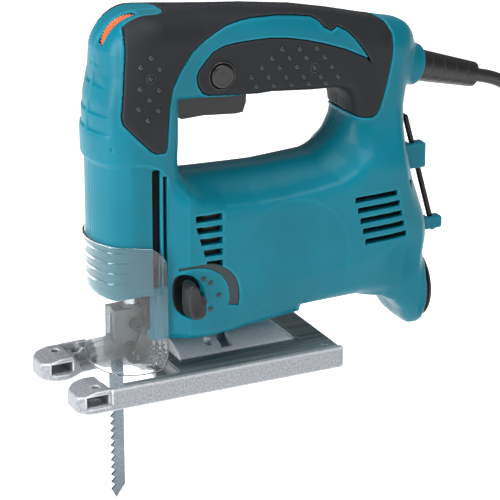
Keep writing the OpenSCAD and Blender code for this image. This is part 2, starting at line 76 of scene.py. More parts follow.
# ------------ materials
class Nodes:
    """A small wrapper that builds a Principled material from node calls."""

    def __init__(self, name):
        self.mat = bpy.data.materials.new(name)
        self.mat.use_nodes = True
        self.tree = self.mat.node_tree
        self.bsdf = self.tree.nodes["Principled BSDF"]
        self.coord = self.add("ShaderNodeTexCoord").outputs["Object"]

    def add(self, kind, **values):
        node = self.tree.nodes.new(kind)
        for key, value in values.items():
            setattr(node, key, value)
        return node

    def link(self, a, b):
        self.tree.links.new(a, b)

    def noise(self, scale, detail=3.0, rough=0.55, stretch=None):
        node = self.add("ShaderNodeTexNoise")
        node.inputs["Scale"].default_value = scale
        node.inputs["Detail"].default_value = detail
        node.inputs["Roughness"].default_value = rough
        vec = self.coord
        if stretch:
            mapping = self.add("ShaderNodeMapping")
            mapping.inputs["Scale"].default_value = stretch
            self.link(vec, mapping.inputs["Vector"])
            vec = mapping.outputs["Vector"]
        self.link(vec, node.inputs["Vector"])
        return node.outputs["Fac"]

    def ramp(self, fac, stops):
        node = self.add("ShaderNodeValToRGB")
        els = node.color_ramp.elements
        while len(els) < len(stops):
            els.new(0.5)
        for el, (pos, col) in zip(els, stops):
            el.position = pos
            el.color = (*col, 1.0) if len(col) == 3 else col
        self.link(fac, node.inputs["Fac"])
        return node.outputs["Color"]

    def map(self, fac, lo, hi, a=0.0, b=1.0):
        node = self.add("ShaderNodeMapRange")
        node.inputs["From Min"].default_value = a
        node.inputs["From Max"].default_value = b
        node.inputs["To Min"].default_value = lo
        node.inputs["To Max"].default_value = hi
        self.link(fac, node.inputs["Value"])
        return node.outputs["Result"]

    def bump(self, fac, strength, depth, normal=None):
        node = self.add("ShaderNodeBump")
        node.inputs["Strength"].default_value = strength
        node.inputs["Distance"].default_value = depth
        self.link(fac, node.inputs["Height"])
        if normal is not None:
            self.link(normal, node.inputs["Normal"])
        return node.outputs["Normal"]

    def mix(self, fac, a, b):
        node = self.add("ShaderNodeMix", data_type="RGBA")
        self.link(fac, node.inputs["Factor"])
        for socket, value in ((node.inputs[6], a), (node.inputs[7], b)):
            if isinstance(value, tuple):
                socket.default_value = (*value, 1.0)
            else:
                self.link(value, socket)
        return node.outputs[2]


def lin(r, g, b):
    return tuple((c / 255 / 12.92) if c / 255 <= 0.04045 else ((c / 255 + 0.055) / 1.055) ** 2.4
                 for c in (r, g, b))


def plastic(name, base, dark, rough=(0.34, 0.46), grain=0.12, grain_scale=2600, spec=0.5):
    """Moulded plastic: fine spark-eroded grain, slow colour drift, and a painted highlight that lightens the
    convex edges.
    """
    n = Nodes(name)
    drift = n.noise(22, 2.0)
    fine = n.noise(grain_scale, 2.0, 0.6)
    colour = n.mix(n.map(drift, 0.0, 1.0, 0.35, 0.65), base, dark)
    geo = n.add("ShaderNodeNewGeometry")
    # painted highlight: convex edges (by pointiness) are mixed towards a lighter copy of the base colour
    edge = n.map(geo.outputs["Pointiness"], 0.0, 0.55, 0.505, 0.56)
    light = tuple(min(1.0, c * 1.5 + 0.015) for c in base)
    n.link(n.mix(edge, colour, light), n.bsdf.inputs["Base Color"])
    n.link(n.map(fine, rough[0], rough[1], 0.3, 0.7), n.bsdf.inputs["Roughness"])
    n.link(n.bump(fine, grain, 0.00012), n.bsdf.inputs["Normal"])
    n.bsdf.inputs["Specular IOR Level"].default_value = spec
    return n.mat


def metal(name, base, dark, rough=(0.25, 0.4), stretch=None, scale=500, bump=0.08, mottled=0.4, metallic=1.0):
    n = Nodes(name)
    fine = n.noise(scale, 4.0, 0.65, stretch)
    cloud = n.noise(60, 3.0)
    both = n.add("ShaderNodeMix", data_type="FLOAT")
    both.inputs[0].default_value = mottled
    n.link(fine, both.inputs[2])
    n.link(cloud, both.inputs[3])
    n.link(n.mix(n.map(both.outputs[0], 0.0, 1.0, 0.3, 0.7), base, dark), n.bsdf.inputs["Base Color"])
    n.link(n.map(fine, rough[0], rough[1], 0.3, 0.7), n.bsdf.inputs["Roughness"])
    n.link(n.bump(fine, bump, 0.0002), n.bsdf.inputs["Normal"])
    n.bsdf.inputs["Metallic"].default_value = metallic
    return n.mat


M = {}
M["teal"] = plastic("teal_plastic", lin(0, 108, 126), lin(0, 99, 116), rough=(0.30, 0.40), grain=0.10,
                    spec=0.17)
M["grip"] = plastic("grip_rubber", lin(31, 33, 37), lin(25, 27, 30), rough=(0.52, 0.68), grain=0.22,
                    grain_scale=3200, spec=0.22)
M["dots"] = plastic("grip_dots", lin(20, 21, 24), lin(14, 15, 18), rough=(0.24, 0.34), grain=0.05)
M["black"] = plastic("black_plastic", lin(22, 22, 24), lin(16, 16, 18), rough=(0.34, 0.46), grain=0.10,
                     spec=0.35)
M["gloss_black"] = plastic("gloss_black", lin(16, 16, 17), lin(11, 11, 12), rough=(0.16, 0.24), grain=0.03)
M["dark"] = plastic("shadow_plastic", lin(9, 10, 12), lin(5, 6, 8), rough=(0.6, 0.7), grain=0.05, spec=0.1)
M["orange"] = plastic("dial_plastic", lin(232, 108, 52), lin(222, 96, 44), rough=(0.38, 0.5), grain=0.08)
M["cord"] = plastic("cord_rubber", lin(18, 18, 20), lin(12, 12, 14), rough=(0.30, 0.42), grain=0.10)
M["cast"] = metal("cast_alloy", lin(176, 179, 184), lin(138, 142, 148), rough=(0.34, 0.5), scale=900,
                  bump=0.22,
                  mottled=0.35, metallic=0.85)
M["steel"] = metal("steel", lin(196, 198, 202), lin(150, 153, 158), rough=(0.22, 0.34), scale=400)
M["holder"] = metal("holder_steel", lin(92, 95, 93), lin(64, 68, 68), rough=(0.3, 0.44), scale=700, bump=0.1,
                    metallic=0.9)
M["blade"] = metal("blade_steel", lin(128, 136, 142), lin(88, 98, 106), rough=(0.24, 0.36),
                   stretch=(1.0, 1.0, 9.0), scale=300, bump=0.08)
# dark steel for the screws, bolt, clamp screw and hex key; on the gear case the same dark is painted shade
M["dark_steel"] = metal("dark_steel", lin(38, 38, 40), lin(22, 22, 24), rough=(0.3, 0.42), scale=700,
                        metallic=0.7)
M["copper"] = metal("copper", lin(205, 120, 80), lin(150, 84, 54), rough=(0.25, 0.4), stretch=(9, 1, 1),
                    scale=300)
M["bronze"] = metal("bronze", lin(190, 150, 100), lin(140, 108, 70), rough=(0.3, 0.45), scale=900)
M["board"] = plastic("circuit_board", lin(20, 90, 58), lin(12, 70, 44), rough=(0.3, 0.45))


def clear_plastic():
    n = Nodes("clear_plastic")
    haze = n.noise(40, 2.0)
    n.bsdf.inputs["Base Color"].default_value = (0.93, 0.97, 0.98, 1.0)
    n.link(n.map(haze, 0.02, 0.06), n.bsdf.inputs["Roughness"])
    n.bsdf.inputs["Transmission Weight"].default_value = 1.0
    n.bsdf.inputs["IOR"].default_value = 1.45
    return n.mat


M["clear"] = clear_plastic()
# painted shade: dark teal for the shadow in the lever's settings band recess, also used on the lever's four
# recessed marks
M["band"] = plastic("setting_band_shade", lin(9, 33, 39), lin(6, 26, 32), rough=(0.4, 0.5), grain=0.08)


def sole_metal():
    """Cast footplate: mottled rails, a smoother ground plate with lengthwise lines, a bright saddle, and
    painted highlights on the convex edges.
    """
    n = Nodes("sole_alloy")
    sep = n.add("ShaderNodeSeparateXYZ")
    n.link(n.coord, sep.inputs[0])
    fine = n.noise(900, 4.0, 0.6)
    lines = n.noise(420, 3.0, 0.6, (0.03, 1.0, 0.03))
    cast = n.ramp(fine, [(0.3, lin(112, 116, 121)), (0.7, lin(160, 163, 168))])
    plate = n.ramp(lines, [(0.35, lin(74, 88, 91)), (0.65, lin(118, 132, 134))])
    ay = n.add("ShaderNodeMath", operation="ABSOLUTE")
    n.link(sep.outputs["Y"], ay.inputs[0])
    inner = n.map(ay.outputs[0], 1.0, 0.0, 0.0308, 0.0316)
    up = n.map(sep.outputs["Z"], 0.0, 1.0, 0.0085, 0.0098)
    both = n.add("ShaderNodeMath", operation="MULTIPLY")
    n.link(inner, both.inputs[0])
    n.link(up, both.inputs[1])
    behind = n.add("ShaderNodeMath", operation="MULTIPLY")
    n.link(n.map(sep.outputs["X"], 0.0, 1.0, -0.022, -0.018), behind.inputs[0])
    n.link(both.outputs[0], behind.inputs[1])
    tone = n.mix(behind.outputs[0], cast, plate)
    high = n.map(sep.outputs["Z"], 0.0, 1.0, 0.0119, 0.0123)
    bright = n.ramp(n.noise(1400, 3.0), [(0.3, lin(205, 207, 211)), (0.7, lin(240, 241, 244))])
    geo = n.add("ShaderNodeNewGeometry")
    # painted highlight: convex edges (by pointiness) are mixed towards near-white
    painted_edge_highlight = n.map(geo.outputs["Pointiness"], 0.0, 0.8, 0.515, 0.57)
    n.link(n.mix(painted_edge_highlight, n.mix(high, tone, bright), lin(225, 228, 231)), n.bsdf.inputs["Base Color"])
    n.link(n.map(fine, 0.30, 0.46, 0.3, 0.7), n.bsdf.inputs["Roughness"])
    n.link(n.bump(fine, 0.2, 0.0002), n.bsdf.inputs["Normal"])
    n.bsdf.inputs["Metallic"].default_value = 0.25
    return n.mat


M["sole"] = sole_metal()


# ------------ mesh helpers
def new_object(name, verts, faces, mat, smooth=True):
    mesh = bpy.data.meshes.new(name)
    mesh.from_pydata([tuple(v) for v in verts], [], [tuple(f) for f in faces])
    mesh.update()
    obj = bpy.data.objects.new(name, mesh)
    scene.collection.objects.link(obj)
    if mat is not None:
        mesh.materials.append(mat)
    mesh.polygons.foreach_set("use_smooth", [smooth] * len(mesh.polygons))
    return obj


def big_object(name, V, quads, mat):
    """A mesh from large arrays of vertices (in mm) and quads."""
    mesh = bpy.data.meshes.new(name)
    n, m = len(V), len(quads)
    mesh.vertices.add(n)
    mesh.vertices.foreach_set("co", (V * MM).astype(np.float32).ravel())
    mesh.loops.add(4 * m)
    mesh.loops.foreach_set("vertex_index", quads.astype(np.int32).ravel())
    mesh.polygons.add(m)
    mesh.polygons.foreach_set("loop_start", np.arange(0, 4 * m, 4, dtype=np.int32))
    mesh.polygons.foreach_set("loop_total", np.full(m, 4, dtype=np.int32))
    mesh.polygons.foreach_set("use_smooth", np.ones(m, dtype=bool))
    mesh.update(calc_edges=True)
    mesh.validate()
    mesh.materials.append(mat)
    obj = bpy.data.objects.new(name, mesh)
    scene.collection.objects.link(obj)
    return obj


def smoothstep(x, a, b):
    t = np.clip((x - a) / (b - a), 0.0, 1.0)
    return t * t * (3 - 2 * t)


def smin(a, b, k):
    h = np.maximum(k - np.abs(a - b), 0.0) / k
    return np.minimum(a, b) - h * h * k * 0.25


def smax(a, b, k):
    return -smin(-a, -b, k)


def lerp(a, b, t):
    return a + (b - a) * t


def round_and(u, v, r):
    """Intersection of two distances with a rounded edge of radius r."""
    p, q = u + r, v + r
    return np.sqrt(np.maximum(p, 0) ** 2 + np.maximum(q, 0) ** 2) - r + np.minimum(np.maximum(p, q), 0)


def chaikin(points, rounds=2):
    p = np.array(points, float)
    for _ in range(rounds):
        q = np.roll(p, -1, axis=0)
        p = np.stack([0.75 * p + 0.25 * q, 0.25 * p + 0.75 * q], axis=1).reshape(-1, 2)
    return p


class Outline:
    """Signed distance to a closed 2-D outline, negative inside, held on a fine grid."""

    def __init__(self, points, rounds=0, step=0.45, margin=26.0):
        p = chaikin(points, rounds) if rounds else np.array(points, float)
        self.lo = p.min(0) - margin
        hi = p.max(0) + margin
        self.step = step
        nu, nv = (np.ceil((hi - self.lo) / step).astype(int) + 1)
        U = self.lo[0] + step * np.arange(nu)[:, None]
        V = self.lo[1] + step * np.arange(nv)[None, :]
        best = np.full((nu, nv), 1e9)
        inside = np.zeros((nu, nv), bool)
        q = np.roll(p, -1, axis=0)
        for (ax, ay), (bx, by) in zip(p, q):
            dx, dy = bx - ax, by - ay
            t = np.clip(((U - ax) * dx + (V - ay) * dy) / (dx * dx + dy * dy + 1e-12), 0, 1)
            best = np.minimum(best, (U - ax - t * dx) ** 2 + (V - ay - t * dy) ** 2)
            if ay != by:
                cross = (ay > V) != (by > V)
                inside ^= cross & (U < (bx - ax) * (V - ay) / (by - ay) + ax)
        self.grid = np.where(inside, -1, 1) * np.sqrt(best)

    def __call__(self, u, v):
        u = (u - self.lo[0]) / self.step
        v = (v - self.lo[1]) / self.step
        nu, nv = self.grid.shape
        u = np.clip(u, 0, nu - 1.001)
        v = np.clip(v, 0, nv - 1.001)
        i, j = np.floor(u).astype(int), np.floor(v).astype(int)
        a, b = u - i, v - j
        g = self.grid
        return ((g[i, j] * (1 - a) + g[i + 1, j] * a) * (1 - b)
                + (g[i, j + 1] * (1 - a) + g[i + 1, j + 1] * a) * b)


def surface(F, lo, hi, h, projections=2):
    """Quads of the zero surface of F in a box, by surface nets; the vertices are then pulled onto it."""
    n = [int(math.ceil((hi[k] - lo[k]) / h)) + 1 for k in range(3)]
    ax = [lo[k] + h * np.arange(n[k]) for k in range(3)]
    f = np.broadcast_to(F(ax[0][:, None, None], ax[1][None, :, None], ax[2][None, None, :]),
                        n).astype(np.float32)
    s = f < 0
    c = np.zeros([k - 1 for k in n], np.int8)
    corners = [(i, j, k) for i in (0, 1) for j in (0, 1) for k in (0, 1)]
    for i, j, k in corners:
        c += s[i:n[0] - 1 + i, j:n[1] - 1 + j, k:n[2] - 1 + k]
    active = (c > 0) & (c < 8)
    cells = np.argwhere(active)
    index = np.full(active.shape, -1, np.int64)
    index[active] = np.arange(len(cells))
    vals = {o: f[cells[:, 0] + o[0], cells[:, 1] + o[1], cells[:, 2] + o[2]] for o in corners}
    total, count = np.zeros((len(cells), 3)), np.zeros(len(cells))
    for o in corners:
        for axis in range(3):
            if o[axis]:
                continue
            p = list(o)
            p[axis] = 1
            a, b = vals[o], vals[tuple(p)]
            hit = (a < 0) != (b < 0)
            t = np.where(hit, a / np.where(hit, a - b, 1), 0)
            pos = np.array(o, float)[None, :].repeat(len(cells), 0)
            pos[:, axis] += t
            total += pos * hit[:, None]
            count += hit
    V = (cells + total / count[:, None]) * h + np.array(lo)[None, :]
    quads = []
    for axis in range(3):
        b, d = [(1, 2), (2, 0), (0, 1)][axis]
        sl = [slice(None)] * 3
        first, second = list(sl), list(sl)
        first[axis], second[axis] = slice(0, n[axis] - 1), slice(1, n[axis])
        for k in (b, d):
            first[k] = second[k] = slice(1, n[k] - 1)
        sa, sb = s[tuple(first)], s[tuple(second)]
        for flip in (False, True):
            where = np.argwhere((sa & ~sb) if not flip else (~sa & sb))
            if not len(where):
                continue
            base = where.copy()
            base[:, b] += 1
            base[:, d] += 1
            ring = []
            for ob, od in ((-1, -1), (0, -1), (0, 0), (-1, 0)):
                q = base.copy()
                q[:, b] += ob
                q[:, d] += od
                ring.append(index[q[:, 0], q[:, 1], q[:, 2]])
            ring = np.stack(ring, 1)
            quads.append(ring[:, ::-1] if flip else ring)
    quads = np.concatenate(quads)
    e = h * 0.25
    for _ in range(projections):
        x, y, z = V[:, 0], V[:, 1], V[:, 2]
        g = np.stack([F(x + e, y, z) - F(x - e, y, z), F(x, y + e, z) - F(x, y - e, z),
                      F(x, y, z + e) - F(x, y, z - e)], 1) / (2 * e)
        size = (g * g).sum(1)
        move = -(F(x, y, z) / np.maximum(size, 0.15))[:, None] * g
        length = np.sqrt((move * move).sum(1))
        move *= (np.minimum(length, 0.6 * h) / np.maximum(length, 1e-9))[:, None]
        V = V + move
    return V, quads


def arc(c, r, a0, a1, n):
    return [(c[0] + r * math.cos(math.radians(a0 + (a1 - a0) * i / n)),
             c[1] + r * math.sin(math.radians(a0 + (a1 - a0) * i / n))) for i in range(n + 1)]


def box2(u, v, lo, hi, r=0.0):
    cu, cv = (lo[0] + hi[0]) / 2, (lo[1] + hi[1]) / 2
    du = np.abs(u - cu) - (hi[0] - lo[0]) / 2 + r
    dv = np.abs(v - cv) - (hi[1] - lo[1]) / 2 + r
    return np.sqrt(np.maximum(du, 0) ** 2 + np.maximum(dv, 0) ** 2) + np.minimum(np.maximum(du, dv), 0) - r


def box3(x, y, z, lo, hi, r=0.0):
    d = [np.abs(q - (lo[k] + hi[k]) / 2) - (hi[k] - lo[k]) / 2 + r for k, q in enumerate((x, y, z))]
    out = np.sqrt(np.maximum(d[0], 0) ** 2 + np.maximum(d[1], 0) ** 2 + np.maximum(d[2], 0) ** 2)
    return out + np.minimum(np.maximum(d[0], np.maximum(d[1], d[2])), 0) - r


def capsule2(u, v, a, b, r0, r1=None):
    r1 = r0 if r1 is None else r1
    du, dv = b[0] - a[0], b[1] - a[1]
    t = np.clip(((u - a[0]) * du + (v - a[1]) * dv) / (du * du + dv * dv), 0, 1)
    return np.sqrt((u - a[0] - t * du) ** 2 + (v - a[1] - t * dv) ** 2) - (r0 + (r1 - r0) * t)


def disc2(u, v, c, r):
    return np.sqrt((u - c[0]) ** 2 + (v - c[1]) ** 2) - r


# ------------ the stored lead
CORD_R = 3.7
floor_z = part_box("coil_tie")[0][2] / MM
ring_lo, ring_hi = box_mm("cord_coil")
coil_x, coil_y = (ring_lo[0] + ring_hi[0]) / 2, (ring_lo[1] + ring_hi[1]) / 2
r_out = (ring_hi[0] - ring_lo[0]) / 2 - CORD_R
r_in = r_out - 2 * CORD_R
z_top, z_low = ring_hi[2] - CORD_R, ring_lo[2] + CORD_R
lead = [(190.9, 0, 143.7), (205.5, 0, 139.5), (218, 0, 135.9), (226.5, -0.8, 131.2), (230.6, -3.4, 124.4),
        (232.2, -7.2, 115.5), (232.2, -12, 104), (231.6, -18, 88), (231, -21.8, 68), (230.6, -23.4, 46),
        (230.4, -23.2, 24), (230.3, -21.6, 8), (230.3, -19.8, -8), (230.3, -19.8, -19), (230.3, -22.5, -29.2),
        (230.3, -30, -36.7), (230.3, -40, -39.4)]
end_route = [(38.3, 0, -39.4), (37.7, 6.6, -39.4), (33.2, 19.2, -37.4), (19.2, 33.2, -34.5), (0, 38.3, -31.5),
             (-11.5, 36, -29.3), (-21.2, 29.5, -28), (-27.7, 19.8, -27.4), (-30, 8.3, -27.2)]
turn_points = []
STEPS = 18
for i in range(1, int(6.5 * STEPS)):
    turn = i / STEPS
    angle = math.radians(180 + 360 * turn)
    radius = r_out + (r_in - r_out) * float(smoothstep(turn, 3.1, 3.9))
    z = z_top - 2 * CORD_R * min(turn, 3) + 2 * CORD_R * max(0.0, turn - 3.5)
    turn_points.append((coil_x + radius * math.cos(angle), coil_y + radius * math.sin(angle), z))
route = lead + turn_points + [(coil_x + x, coil_y + y, z) for x, y, z in end_route]
curve = bpy.data.curves.new("cord_line", "CURVE")
curve.dimensions = "3D"
spline = curve.splines.new("POLY")


def catmull(points, sub):
    P = [np.array(p, float) for p in points]
    out = []
    for i in range(len(P) - 1):
        a, b, c, d = P[max(i - 1, 0)], P[i], P[i + 1], P[min(i + 2, len(P) - 1)]
        for k in range(sub):
            t = k / sub
            out.append(0.5 * (2 * b + (c - a) * t + (2 * a - 5 * b + 4 * c - d) * t * t
                              + (3 * b - a - 3 * c + d) * t ** 3))
    return out + [P[-1]]


fine_route = catmull(route, 3)
spline.points.add(len(fine_route) - 1)
for pt, p in zip(spline.points, fine_route):
    pt.co = (*(p * MM), 1.0)
curve.bevel_depth = CORD_R * MM
curve.bevel_resolution = 5
curve.use_fill_caps = True
curve.materials.append(M["cord"])
cord_obj = bpy.data.objects.new("lead", curve)
scene.collection.objects.link(cord_obj)
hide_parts("cord", "cord_coil", "cord_end")
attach(cord_obj, "housing")


def lathe(name, profile, mat, segments=48, axis_from=(0, 0, 0), axis_to=(1, 0, 0), closed=True):
    """A turned piece: profile is [(distance along the axis, radius), ...] in mm."""
    a, b = Vector(axis_from), Vector(axis_to)
    w = (b - a).normalized()
    u = w.cross(Vector((0, 0, 1)))
    u = u.normalized() if u.length > 0.1 else Vector((1, 0, 0))
    v = w.cross(u)
    verts, faces = [], []
    for s, r in profile:
        for k in range(segments):
            t = 2 * math.pi * k / segments
            verts.append((a + w * s + (u * math.cos(t) + v * math.sin(t)) * r) * MM)
    for i in range(len(profile) - 1):
        for k in range(segments):
            k2 = (k + 1) % segments
            faces.append((i * segments + k, i * segments + k2, (i + 1) * segments + k2,
                          (i + 1) * segments + k))
    if closed:
        faces.append(tuple(range(segments))[::-1])
        faces.append(tuple((len(profile) - 1) * segments + k for k in range(segments)))
    return new_object(name, verts, faces, mat)


def sharpen(obj, angle=38.0):
    """Smooth shading that breaks at sharp edges."""
    mesh = obj.data
    bm = bmesh.new()
    bm.from_mesh(mesh)
    limit = math.radians(angle)
    for edge in bm.edges:
        if len(edge.link_faces) == 2 and edge.calc_face_angle(0.0) > limit:
            edge.smooth = False
    bm.to_mesh(mesh)
    bm.free()
    return obj


def sdf_piece(name, F, lo, hi, h, mat, body, nodes=(), sharp=40.0):
    V, Q = surface(F, lo, hi, h)
    obj = big_object(name, V, Q, mat)
    if sharp:
        sharpen(obj, sharp)
    if nodes:
        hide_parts(*nodes)
    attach(obj, body)
    return obj


plug_lo, plug_hi = box_mm("plug_body")
plug_x = (plug_lo[0] + plug_hi[0]) / 2
plug_zc = (plug_lo[2] + plug_hi[2]) / 2


def plug_form(x, y, z):
    t = smoothstep(y, plug_hi[1] - 18, plug_hi[1] - 11)
    w = lerp(11.9, 6.0, t)
    hgt = lerp(8.4, 6.0, t)
    waist = 1.0 * np.exp(-((y - (plug_lo[1] + 14)) / 6.0) ** 2)
    dx = np.abs(x - plug_x) - (w - waist)
    dz = np.abs(z - plug_zc) - hgt
    body = round_and(dx, dz, lerp(4.0, 5.9, t))
    body = round_and(body, np.maximum(plug_lo[1] - y, y - plug_hi[1]), 1.2)
    for k in range(4):
        yc = plug_hi[1] - 3.0 - 2.6 * k
        body = smax(body, -(np.sqrt((y - yc) ** 2 + 0 * x) - 0.55 + 2.2 * smoothstep(-body, 0.3, 1.2)), 0.3)
    return body


plug = sdf_piece("plug", plug_form, plug_lo - 1.5, plug_hi + 1.5, 0.5, M["cord"], "housing",
                 ["plug_body"])
tie_lo, tie_hi = box_mm("coil_tie")


def tie_form(x, y, z):
    r = np.sqrt((x - coil_x) ** 2 + (y - coil_y) ** 2)
    a = box2(r, z, (r_in - CORD_R - 1.3, ring_lo[2] - 1.1), (r_out + CORD_R + 1.3, ring_hi[2] + 1.1), 3.4)
    b = box2(r, z, (r_in - CORD_R - 0.1, ring_lo[2] - 0.05), (r_out + CORD_R + 0.1, ring_hi[2] + 0.1), 2.6)
    band = np.maximum(a, -b)
    band = round_and(band, np.abs(y - coil_y) - 5.8, 0.5)
    return np.maximum(band, coil_x - x)


tie = sdf_piece("tie", tie_form, tie_lo - 1.2, tie_hi + 1.2, 0.55, M["black"], "housing",
                ["coil_tie"])

# ------------ housing
side = Outline(
    [(8, 26), (8, 52), (-15.5, 52), (-17.3, 55), (-17.3, 123.7), (-19.4, 126.0), (-19.6, 138), (-17.8, 155),
     (-14.4, 171)]
    + arc((8, 177), 22.4, 165, 90, 10)
    + [(26, 198.6), (43, 197.3), (70, 194.6), (98, 190.6), (119, 186), (140, 180.6)]
    + arc((153, 162.5), 15.4, 80, -12, 9)
    + [(163, 146), (159.4, 132), (158.2, 122), (158.4, 112), (161.4, 101), (165, 88), (169, 70), (170.6, 60),
       (169.5, 50), (169.8, 10), (167, 8.0), (163.2, 8.6), (160.4, 12), (156.5, 19), (151, 25.5), (143, 30.5),
       (127, 34.3),
       (91.3, 34.6), (90.6, 31), (60, 29.2), (14, 27)])
loop_in = Outline(arc((33, 119), 8.2, 250, 180, 5) + [(25.2, 126), (25.2, 154), (64, 151), (78, 151.3),
                                                      (101, 149)]
                  + arc((112, 137), 12, 78, 0, 6) + arc((99, 137), 26.5, -15, -75, 6) + [(76, 109.8)])
loop_out = Outline([(23.4, 156), (23.2, 126), (23.8, 116), (27, 108.6), (34, 103.4), (46, 100.4), (64, 99),
                    (82, 99.6), (99, 101), (112, 103), (121, 107.5), (127, 116), (129, 126), (128, 137),
                    (123, 148), (101, 150), (78, 152), (64, 152)])
wrap = Outline([(6, 206), (-3, 197), (-4.6, 190), (-8.9, 151), (-8.2, 147.6), (-3.2, 141.8), (5.8, 132.4),
                (9, 130.6), (14.2, 130.4), (15.2, 132.5), (17, 154), (19, 163), (24.6, 172), (31.4, 179.8),
                (38, 184.2), (44, 187), (52, 189.8), (60, 190.9), (67, 191.2), (82, 190.3), (94, 188.7),
                (102, 187.2), (105, 185.4), (107.5, 182), (111.5, 179.6), (115.7, 181.2), (121, 178),
                (125, 173.6), (130.5, 166), (132.7, 162.6), (134.4, 158), (146.0, 158), (147.9, 172.7),
                (146.6, 178), (143.8, 182.2), (142, 190), (142, 206)])
rear_grip = Outline([(132.4, 163.4), (134, 160.6), (128, 150), (118, 144), (119.4, 139.2), (121, 135.6),
                     (123.7, 133), (128, 131), (135.3, 130.2), (137.6, 131.4), (139.5, 133.9), (143.5, 146.1),
                     (146.9, 161.3), (147.4, 170), (140, 175), (132, 172)])
inlay = Outline([(33.4, 166.5), (34.2, 161.5), (37.1, 157.1), (41, 155), (68, 151), (72, 146), (118, 145),
                 (124, 142), (136, 150), (136, 158), (133.2, 161.6), (131.6, 163.3), (119, 169.6),
                 (106.5, 174.2), (96, 177.4), (86, 179.7), (76, 181), (65.8, 181.3), (57, 181), (50, 180.4),
                 (43, 177.8), (38.9, 173.8), (35, 170)])
slide_zone = Outline([(-45, 125.2), (-2, 125.2), (4.5, 124.4), (10.4, 121.4), (14.2, 117), (15.8, 112),
                      (16.2, 106), (16.2, -10), (-45, -10)])


def cap(x, a):
    """The bare plastic round the speed dial, seen from above."""
    return box2(x, a, (-40, -30), (22, 11.5), 9.0)


def grip_area(x, z):
    return np.minimum(np.minimum(wrap(x, z), rear_grip(x, z)), inlay(x, z))


def nose_bow(a):
    """How far the nose's round front falls back at a distance a from the middle plane."""
    return NOSE_BOW_R - np.sqrt(NOSE_BOW_R ** 2 - np.minimum(a, 30) ** 2)


def body_form(x, y, z, inset=0.0):
    """The whole outer form, without recesses."""
    a = np.sqrt(y * y + 0.02)
    bow = nose_bow(a)
    tail = 30 - np.sqrt(np.maximum(30.0 ** 2 - np.minimum(a, 26) ** 2, 1))
    xb = x - bow * (1 - smoothstep(x, -4, 26)) + tail * smoothstep(x, 140, 168) * smoothstep(z, 62, 100) * 0.8
    S = side(xb, z)
    low = np.interp(x, [-25, 14.5, 17, 20, 25, 33, 46, 122, 140, 152, 164, 171, 180],
                    [23.8, 23.8, 24.6, 26.4, 29.2, 30.6, 31, 31, 30, 28, 24.4, 20.5, 15])
    crease = np.interp(x, [46, 60, 72, 91, 117, 136, 155, 171], [44, 48.5, 51, 52.7, 55, 58.2, 64.6, 70])
    depth = np.interp(x, [40, 60, 100, 140, 171], [0.0, 0.10, 0.20, 0.24, 0.10])
    low = low - depth * np.maximum(crease - z, 0)
    up = np.interp(x, [-25, 6, 14, 22, 30, 38, 48, 60, 138, 150, 160, 168, 176],
                   [25.0, 25.0, 24.6, 22.6, 20.8, 19.4, 18.5, 18.3, 18.3, 17.4, 15.6, 12.5, 9.5])
    z0 = np.interp(x, [18, 34, 120, 150, 165], [96, 108, 108, 100, 96])
    z1 = np.interp(x, [18, 34, 120, 150, 165], [126, 122, 126, 136, 138])
    t = smoothstep(z, z0, z1)
    w = low * (1 - t) + up * t
    r = lerp(np.interp(x, [0, 30, 60, 171], [8.0, 5.0, 6.0, 8.0]), 14.0, smoothstep(z, 118, 170))
    r = lerp(r, 8.5, (1 - smoothstep(x, 6, 40)) * (1 - smoothstep(z, 165, 190)))
    f = round_and(S, a - w, r)
    # the dust duct along the lower rear
    zr = np.sqrt((z - DUCT_Z) ** 2 + a * a)
    duct_r = np.interp(x, [90, 110, 140, 158, 169, 175], [10, 15.5, 19.0, 20.4, 21.0, 21.0])
    pipe = round_and(zr - duct_r, np.maximum(96 - x, x - 171), 1.5)
    f = smin(f, smax(pipe, S, 3.0), 7.0)
    # the handle's hole, wider towards the sides
    hole = lerp(loop_in(x, z), loop_out(x, z), smoothstep(a, 5, 27))
    f = smax(f, -hole, lerp(5.5, 9.0, (1 - smoothstep(z, 112, 140))))
    return f + inset


def slots(x, z, first, pitch, length, h):
    d = 1e3
    for i in range(5):
        cx, cz = first[0] + pitch[0] * i, first[1] + pitch[1] * i
        d = np.minimum(d, box2(x, z, (cx - length / 2, cz - h / 2), (cx + length / 2, cz + h / 2), 0.4))
    return d


DIAL = (3.3, 183.7)
BUTTON = (48.0, 164.8)
HALF_SCREWS = [(-9, 160), (16.4, 128), (92, 168), (138, 172), (148, 112), (44, 34.5), (136, 42)]


lever_well = Outline([(18.4, 62.4), (21, 64.4), (25.2, 64.3), (29.4, 61), (31.9, 57), (32.2, 50.5),
                      (33.4, 45), (31.8, 41.2), (28, 39.6), (22, 41.6), (18.6, 45.4), (17.2, 51.2),
                      (17.2, 57.6)], rounds=2)


def lever_band(x, z):
    """The arc beside the orbital lever that carries its settings."""
    rr = np.sqrt((x - 27) ** 2 + (z - 50) ** 2)
    ang = np.degrees(np.arctan2(z - 50, x - 27))
    half = 0.7 + 2.2 * (1 - smoothstep(ang, 10, 95))
    mid = 22.2 - 4.2 * smoothstep(ang, 15, 100)
    return np.maximum(np.abs(rr - mid) - half, np.maximum(-14 - ang, ang - 112) * 0.35)


# clear space inside the housing: low corner, high corner and corner radius of each box
ROOMS = [((36, -26.6, 42), (128, 26.6, 94), 12.0),
         ((14, -19.0, 42), (46, 19.0, 96), 4.0),
         ((-9.5, -12.5, 30), (22, 12.5, 128), 4.0),
         ((-4, -9, 120), (12.5, 9, 166), 3.0),
         ((26.2, -11.3, 132), (67.3, 11.3, 183), 0.4),
         ((5, -9, 20), (24, 9, 62), 1.0)]


